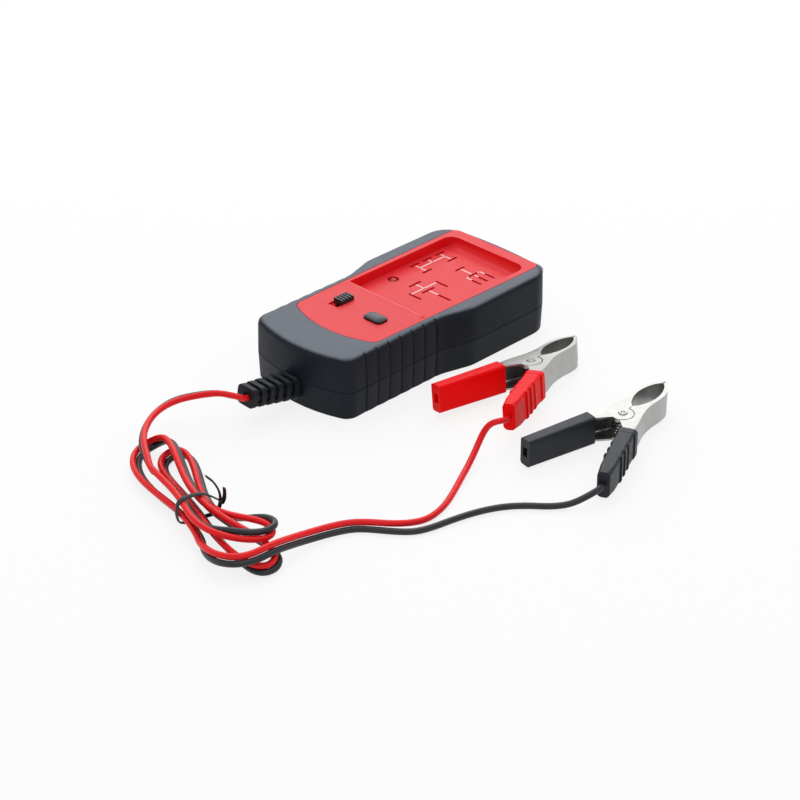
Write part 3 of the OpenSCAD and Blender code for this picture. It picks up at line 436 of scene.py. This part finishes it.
def moulded(name, colour, rough, grain=2600, depth=0.00003, vary=0.12, painted_sheen=None, **sockets):
    """Moulded plastic: fine grain, soft mottling, uneven gloss, and a painted sheen: a paler colour
    where it faces up, standing in for light from above.
    """
    material, tree, shader, where = start_material(name, **sockets)
    mottled = noise(tree, where, MOTTLE_CELLS, 4)
    shade = varied(tree, mottled, colour, vary)
    # Painted sheen: up-facing surfaces get a paler colour that stands in for the light they catch from
    # above.
    if painted_sheen:
        facing = tree.nodes.new("ShaderNodeSeparateXYZ")
        geometry = tree.nodes.new("ShaderNodeNewGeometry")
        tree.links.new(geometry.outputs["Normal"], facing.inputs[0])
        sheen_mask = ranged(tree, facing.outputs["Z"], 0, 1, *SHEEN_FACES_UP)
        shade = mixed(tree, sheen_mask, shade, varied(tree, mottled, painted_sheen, vary / 2))
    tree.links.new(shade, shader.inputs["Base Color"])
    gloss = noise(tree, where, GLOSS_CELLS, 5)
    tree.links.new(ranged(tree, gloss, *rough), shader.inputs["Roughness"])
    bump(tree, shader, noise(tree, where, grain, 2), GRAIN_STRENGTH, depth)
    return material


def sheet_metal(name, colour, rough, stretch=(1, 1, 1), scale=900, tint=None, depth=0.00004):
    """Plated metal: faint marks, cloudy gloss and a touch of tarnish."""
    material, tree, shader, where = start_material(name, Metallic=1.0)
    tarnished = tint or tuple(c * TARNISH for c in colour)
    cloud = noise(tree, where, CLOUD_CELLS, 5)
    tree.links.new(shades(tree, cloud, (0.35, tarnished), (0.6, colour)), shader.inputs["Base Color"])
    gloss = noise(tree, where, METAL_GLOSS_CELLS, 6)
    tree.links.new(ranged(tree, gloss, *rough), shader.inputs["Roughness"])
    marks = noise(tree, where, scale, 4, stretch)
    bump(tree, shader, marks, MARK_STRENGTH, depth)
    return material


# Each top colour is painted sheen: the paler shade of up-facing surfaces, standing in for the light from
# above.
housing_grey = moulded("housing_plastic", (0.01, 0.014, 0.021), painted_sheen=(0.13, 0.145, 0.175),
    rough=(0.42, 0.52), Specular_IOR_Level=0.14)
relief_grey = moulded("relief_rubber", (0.009, 0.011, 0.015), painted_sheen=(0.028, 0.033, 0.042),
    rough=(0.45, 0.6), grain=1800, Specular_IOR_Level=0.2)
panel_red = moulded("panel_plastic", (0.82, 0.01, 0.014), painted_sheen=(0.78, 0.032, 0.041),
    rough=(0.38, 0.46), grain=3200, depth=0.00002, vary=0.04, Specular_IOR_Level=0.22)
control_black = moulded("control_plastic", (0.012, 0.014, 0.016), painted_sheen=(0.04, 0.05, 0.055),
    rough=(0.32, 0.45), vary=0.15, Specular_IOR_Level=0.4)
sleeve_red = moulded("sleeve_vinyl_red", (0.95, 0.001, 0.002), painted_sheen=(0.92, 0.012, 0.02),
    rough=(0.4, 0.5), grain=1400, depth=0.00002, vary=0.04, Specular_IOR_Level=0.12)
sleeve_black = moulded("sleeve_vinyl_black", (0.014, 0.017, 0.023), painted_sheen=(0.03, 0.036, 0.045),
    rough=(0.4, 0.52), grain=1400, vary=0.15, Specular_IOR_Level=0.25)
lead_red = moulded("lead_vinyl_red", (0.85, 0.004, 0.008), rough=(0.36, 0.44), grain=600,
    depth=0.000006, vary=0.04, Specular_IOR_Level=0.3)
lead_black = moulded("lead_vinyl_black", (0.014, 0.016, 0.021), rough=(0.3, 0.44), grain=600,
    depth=0.000006, vary=0.2, Specular_IOR_Level=0.4)
tie_black = moulded("tie_plastic", (0.012, 0.013, 0.015), rough=(0.3, 0.42), grain=1200, vary=0.2)
component_black = moulded("component_plastic", (0.02, 0.02, 0.022), rough=(0.5, 0.65), vary=0.15)
capacitor_blue = moulded("capacitor_sleeve", (0.03, 0.06, 0.13), rough=(0.25, 0.35), vary=0.1)
resistor_tan = moulded("resistor_lacquer", (0.5, 0.33, 0.18), rough=(0.35, 0.5))
nickel = sheet_metal("clip_nickel", (0.43, 0.428, 0.424), rough=(0.32, 0.42), stretch=(1, 0.08, 1),
    tint=(0.4, 0.39, 0.37), depth=0.000004)
spring_wire = sheet_metal("spring_wire", (0.4, 0.4, 0.39), rough=(0.2, 0.32), scale=1500)
screw_steel = sheet_metal("screw_steel", (0.42, 0.42, 0.42), rough=(0.25, 0.35), depth=0.00002)
switch_metal = sheet_metal("switch_metal", (0.56, 0.56, 0.56), rough=(0.25, 0.4))
brass = sheet_metal("contact_brass", (0.78, 0.56, 0.25), rough=(0.22, 0.38), tint=(0.5, 0.33, 0.13))
# Painted highlight: the ridge's bead is a paler red than the panel, standing in for the light its crest
# catches.
ridge_highlight_red = moulded("ridge_painted_highlight", (0.85, 0.1, 0.115), rough=(0.35, 0.42), grain=3200, vary=0.06,
    Specular_IOR_Level=0.3)
print_white = moulded("printed_ink", (0.9, 0.72, 0.72), rough=(0.45, 0.6), grain=5000, vary=0.05)


def board_material():
    """Green lacquer over the copper: traces show as slightly paler runs."""
    material, tree, shader, where = start_material("board_lacquer", Coat_Weight=0.4,
        Coat_Roughness=0.15)
    brick = node_of(tree, "ShaderNodeTexBrick", in_Scale=180, in_Mortar_Size=0.06)
    tree.links.new(where, brick.inputs["Vector"])
    traces = brick.outputs["Fac"]
    green = shades(tree, traces, (0.2, (0.012, 0.1, 0.035)), (0.8, (0.03, 0.17, 0.06)))
    tree.links.new(green, shader.inputs["Base Color"])
    gloss = ranged(tree, noise(tree, where, 300, 3), low=0.3, high=0.45)
    tree.links.new(gloss, shader.inputs["Roughness"])
    bump(tree, shader, traces, strength=0.3, distance=0.00003)
    return material


def lens_material():
    """Tinted lens of the lamp, unlit."""
    material, tree, shader, where = start_material("lamp_lens", Transmission_Weight=0.35, IOR=1.49)
    cloud = noise(tree, where, 500, 2)
    tint = shades(tree, cloud, (0.3, (0.5, 0.03, 0.04)), (0.7, (0.62, 0.06, 0.06)))
    tree.links.new(tint, shader.inputs["Base Color"])
    gloss = ranged(tree, noise(tree, where, 700, 3), low=0.12, high=0.25)
    tree.links.new(gloss, shader.inputs["Roughness"])
    return material


board_green = board_material()
lamp_tint = lens_material()

FINISH = {
    "lower_shell": housing_grey, "upper_shell": housing_grey, "face_panel": panel_red,
    "case_screws": screw_steel, "circuit_board": board_green, "board_screws": screw_steel,
    "slide_switch_body": switch_metal, "slide_switch_knob": control_black,
    "test_button": control_black, "button_switch_body": component_black, "status_led": lamp_tint,
    "contact_sleeves_a": brass, "contact_sleeves_b": brass, "contact_sleeves_c": brass,
    "controller_chip": component_black, "transistors": component_black, "resistors": resistor_tan,
    "capacitor": capacitor_blue, "red_lead_tail": lead_red, "black_lead_tail": lead_black,
    "strain_relief": relief_grey, "red_lead_in": lead_red, "black_lead_in": lead_black,
    "red_hank": lead_red, "black_hank": lead_black, "red_lead_out": lead_red,
    "black_lead_out": lead_black, "twist_tie": tie_black,
    "red_plain_sleeve": sleeve_red, "red_ribbed_sleeve": sleeve_red,
    "black_plain_sleeve": sleeve_black, "black_ribbed_sleeve": sleeve_black,
}
CLIP_FINISH = {"fixed_jaw": nickel, "moving_jaw": nickel, "clip_spring": spring_wire,
    "clip_rivet": screw_steel, "crimp": brass}
for part, material in CLIP_FINISH.items():
    for clip in ("red_", "black_"):
        FINISH[clip + part] = material
for name, material in FINISH.items():
    for place in nodes[name].material_slots:
        place.material = material


# ---- Softened edges of the moulded parts ----

EDGE_ANGLE = 34
WELD_DISTANCE = 0.000002


def all_smooth():
    """Node group that shades every face smooth, before the weighted normals."""
    group = bpy.data.node_groups.new("all_smooth", "GeometryNodeTree")
    group.interface.new_socket("Geometry", in_out="INPUT", socket_type="NodeSocketGeometry")
    group.interface.new_socket("Geometry", in_out="OUTPUT", socket_type="NodeSocketGeometry")
    start, end = group.nodes.new("NodeGroupInput"), group.nodes.new("NodeGroupOutput")
    smooth = group.nodes.new("GeometryNodeSetShadeSmooth")
    group.links.new(start.outputs[0], smooth.inputs["Geometry"])
    group.links.new(smooth.outputs[0], end.inputs[0])
    return group


ALL_SMOOTH = all_smooth()


def soften(name, width):
    """Small rounded edges on a CAD part, with flat faces that stay flat."""
    piece = nodes[name]
    piece.modifiers.new("weld", "WELD").merge_threshold = WELD_DISTANCE
    edge = piece.modifiers.new("edge", "BEVEL")
    edge.width = width * MM
    edge.segments = 2
    edge.limit_method = "ANGLE"
    edge.angle_limit = math.radians(EDGE_ANGLE)
    piece.modifiers.new("smooth", "NODES").node_group = ALL_SMOOTH
    normals = piece.modifiers.new("normals", "WEIGHTED_NORMAL")
    normals.weight = 90
    normals.keep_sharp = False


# The width of each part's rounded edges, in millimetres.
SOFT_EDGES = {"upper_shell": 0.2, "lower_shell": 0.2, "face_panel": 0.15, "slide_switch_knob": 0.15,
    "test_button": 0.15, "strain_relief": 0.35, "red_plain_sleeve": 0.3, "red_ribbed_sleeve": 0.3,
    "black_plain_sleeve": 0.3, "black_ribbed_sleeve": 0.3}
for name, width in SOFT_EDGES.items():
    soften(name, width)

# ---- Printed contact lines on the recess floor ----

RECESS_FLOOR = 23.8
INK = 0.03
LINE_HALF = 0.3
CONTACT_LINES = [((-16.3, 29.2), (-16.3, 45.2)), ((-18.8, 29.2), (-12.9, 29.2)),
    ((-18.8, 37.3), (-16.3, 37.3)), ((-18.8, 45.2), (-12.9, 45.2)), ((-5.9, 16.4), (-1.3, 16.4)),
    ((-1.3, 8.9), (-1.3, 24)), ((2.3, 16.4), (7.1, 16.4)), ((-2, 41.1), (4.1, 41.1)),
    ((5.1, 45.3), (8, 45.3)), ((5.1, 44.3), (5.1, 45.3)), ((6.1, 41.1), (8, 41.1)),
    ((5.1, 36.9), (8, 36.9)), ((5.1, 36.9), (5.1, 37.9))]


def print_mesh():
    """Thin strips with round ends, one for each printed line."""
    vertices, faces = [], []
    for start, stop in CONTACT_LINES:
        heading = math.atan2(stop[1] - start[1], stop[0] - start[0])
        outline = []
        for centre, first in ((start, 90), (stop, -90)):
            for step in range(0, 181, 30):
                a = heading + math.radians(first + step)
                outline.append((centre[0] + LINE_HALF * math.cos(a),
                    centre[1] + LINE_HALF * math.sin(a)))
        rings = [[(x, y, z) for x, y in outline] for z in (RECESS_FLOOR, RECESS_FLOOR + INK)]
        points, skin = ring_skin(rings)
        faces += [tuple(i + len(vertices) for i in face) for face in skin]
        vertices += points
    return mesh_from("contact_print", vertices, faces, smooth=False)


new_object("contact_print", print_mesh(), print_white, "housing")

# ---- Rounded crest of the ridge at the near edge of the recess, painted paler as a highlight ----

# In millimetres, but the tip is its share of the full size at both ends, and a lower fullness
# makes the bead swell sooner.
RIDGE_ENDS = (-22.8, 23.9)
RIDGE_Y = -9.2
RIDGE_TOP = 28.6
RIDGE_HALF = 0.42
RIDGE_RISE = 0.12
RIDGE_SUNK = 0.2
RIDGE_STEPS = 12
RIDGE_TIP = 0.2
RIDGE_FULLNESS = 0.3


def ridge_mesh():
    """A low half-round bead that tapers at both ends."""
    rings = []
    for step in range(RIDGE_STEPS + 1):
        t = step / RIDGE_STEPS
        size = RIDGE_TIP + (1 - RIDGE_TIP) * math.sin(math.pi * t) ** RIDGE_FULLNESS
        x, half, rise = mix(*RIDGE_ENDS, t), RIDGE_HALF * size, RIDGE_RISE * size
        ring = [(x, RIDGE_Y + half * math.cos(math.radians(angle)),
            RIDGE_TOP + rise * math.sin(math.radians(angle))) for angle in range(0, 181, 30)]
        ring += [(x, y, RIDGE_TOP - RIDGE_SUNK) for y in (RIDGE_Y - half, RIDGE_Y + half)]
        rings.append(ring)
    return mesh_from("panel_ridge_highlight", *ring_skin(rings))


# The bead's paler red is a painted highlight along the ridge's crest.
new_object("panel_ridge_highlight", ridge_mesh(), ridge_highlight_red, "housing")

# ---- Leads ----

red_lead = cord_curve("lead_red", red_route, lead_red)
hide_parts("red_lead_in", "red_hank", "red_lead_out")
black_lead = cord_curve("lead_black", black_route, lead_black)
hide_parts("black_lead_in", "black_hank", "black_lead_out")

# ---- Wire tie: a thin band with a wire in its middle ----

def tie_mesh():
    """The band's section carried along the tie's route."""
    line = smooth_path([Vector(p) for p in TIE_POINTS], TIE_STEPS)
    rings = []
    for i, point in enumerate(line):
        along = tangent(line, i)
        out = square_to(Vector((0, point.y - TIE_CENTRE.y, point.z - TIE_CENTRE.z)), along)
        wide = along.cross(out)
        rings.append([hank_place(point + w * wide + h * out) for w, h in TIE_SECTION])
    return mesh_from("wire_tie", *ring_skin(rings))


tie = new_object("wire_tie", tie_mesh(), tie_black, "housing")
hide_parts("twist_tie")

# ---- Floor, background and light ----

# How much of the floor's white is the camera's alone; the rest takes light and shadow.
WHITE_SHARE = 0.82
FLOOR_COLOUR = (0.94, 0.94, 0.94, 1)
FLOOR_HALF = 6
FLOOR_Z = -0.0002
FILL_STRENGTH = 0.7
LIGHT_AIM = Vector((0.03, -0.03, 0))


def seen_directly(tree):
    """One for rays from the camera, also by way of a glossy or clear surface, else zero."""
    path = tree.nodes.new("ShaderNodeLightPath")
    camera_or_gloss = node_of(tree, "ShaderNodeMath", operation="MAXIMUM")
    any_of_them = node_of(tree, "ShaderNodeMath", operation="MAXIMUM")
    tree.links.new(path.outputs["Is Camera Ray"], camera_or_gloss.inputs[0])
    tree.links.new(path.outputs["Is Glossy Ray"], camera_or_gloss.inputs[1])
    tree.links.new(camera_or_gloss.outputs[0], any_of_them.inputs[0])
    tree.links.new(path.outputs["Is Transmission Ray"], any_of_them.inputs[1])
    return any_of_them.outputs[0]


def show_both(tree, share, unseen, seen, output):
    """Sends a mix of two shaders to the output: the second one by its share."""
    both = tree.nodes.new("ShaderNodeMixShader")
    for socket, source in enumerate((share, unseen.outputs[0], seen.outputs[0])):
        tree.links.new(source, both.inputs[socket])
    tree.links.new(both.outputs[0], tree.nodes.new(output).inputs["Surface"])


def stage_material():
    """A pale floor that reads white to the camera and still takes the object's shadow."""
    material = bpy.data.materials.new("stage_white")
    material.use_nodes = True
    tree = material.node_tree
    tree.nodes.clear()
    share = node_of(tree, "ShaderNodeMath", operation="MULTIPLY")
    share.inputs[1].default_value = WHITE_SHARE
    tree.links.new(seen_directly(tree), share.inputs[0])
    matt = node_of(tree, "ShaderNodeBsdfDiffuse", in_Color=FLOOR_COLOUR)
    glow = node_of(tree, "ShaderNodeEmission", in_Strength=1)
    show_both(tree, share.outputs[0], matt, glow, "ShaderNodeOutputMaterial")
    return material


floor_mesh = bpy.data.meshes.new("floor")
floor_corners = [(x * FLOOR_HALF, y * FLOOR_HALF, FLOOR_Z)
    for x, y in ((-1, -1), (1, -1), (1, 1), (-1, 1))]
floor_mesh.from_pydata(floor_corners, [], [(0, 1, 2, 3)])
floor_mesh.materials.append(stage_material())
floor = bpy.data.objects.new("floor", floor_mesh)
bpy.context.scene.collection.objects.link(floor)

world = bpy.data.worlds.new("studio")
bpy.context.scene.world = world
world.use_nodes = True
world.node_tree.nodes.clear()
fill = node_of(world.node_tree, "ShaderNodeBackground", in_Strength=FILL_STRENGTH)
white = node_of(world.node_tree, "ShaderNodeBackground", in_Strength=1)
show_both(world.node_tree, seen_directly(world.node_tree), fill, white, "ShaderNodeOutputWorld")


def soft_light(name, place, size, power):
    """A square area light that looks at the object."""
    data = bpy.data.lights.new(name, "AREA")
    data.size = size
    data.energy = power
    lamp = bpy.data.objects.new(name, data)
    lamp.location = place
    lamp.rotation_euler = (LIGHT_AIM - Vector(place)).to_track_quat("-Z", "Y").to_euler()
    bpy.context.scene.collection.objects.link(lamp)


soft_light("key", place=(-0.7, 0.75, 0.95), size=1.4, power=10.5)
soft_light("overhead", place=(0.1, -0.2, 1.6), size=1.6, power=6)

bpy.context.scene.view_settings.view_transform = "Standard"
